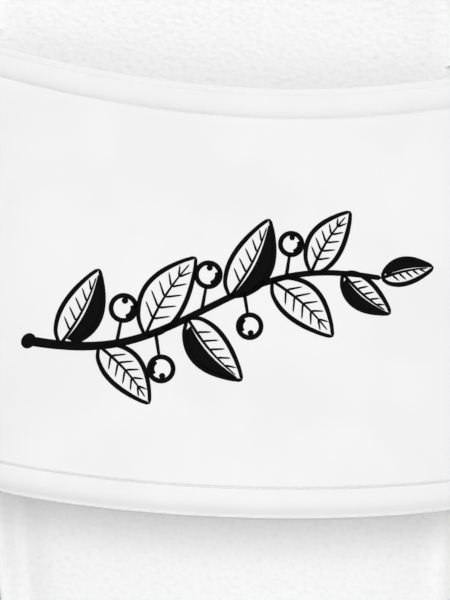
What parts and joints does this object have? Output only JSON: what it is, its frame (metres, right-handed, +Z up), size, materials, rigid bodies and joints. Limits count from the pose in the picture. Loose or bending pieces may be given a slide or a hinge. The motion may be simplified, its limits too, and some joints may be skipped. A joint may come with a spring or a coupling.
{
  "type": "slide sandal",
  "caption": "White moulded slide sandal for the right foot: a broad band with beaded edges and a smooth panel over a cupped footbed.",
  "frame": {"origin": "middle of the sole's bounding box, on the ground", "axes": "+Y from heel to toe, +X to the outer, little toe side, +Z up"},
  "size_m": [0.105, 0.2718, 0.0847],
  "materials": {
    "outsole_rubber": "matt white rubber",
    "midsole_foam": "smooth moulded white foam",
    "footbed_foam": "white foam with a fine leather-like grain",
    "band_skin": "smooth satin white",
    "lining": "close white knit",
    "ink": "flat black print"
  },
  "bodies": {
    "root": {"outsole": "outsole_rubber", "midsole": "midsole_foam", "footbed": "footbed_foam", "band_shell": "band_skin", "band_lining": "lining"}
  },
  "joints": []
}
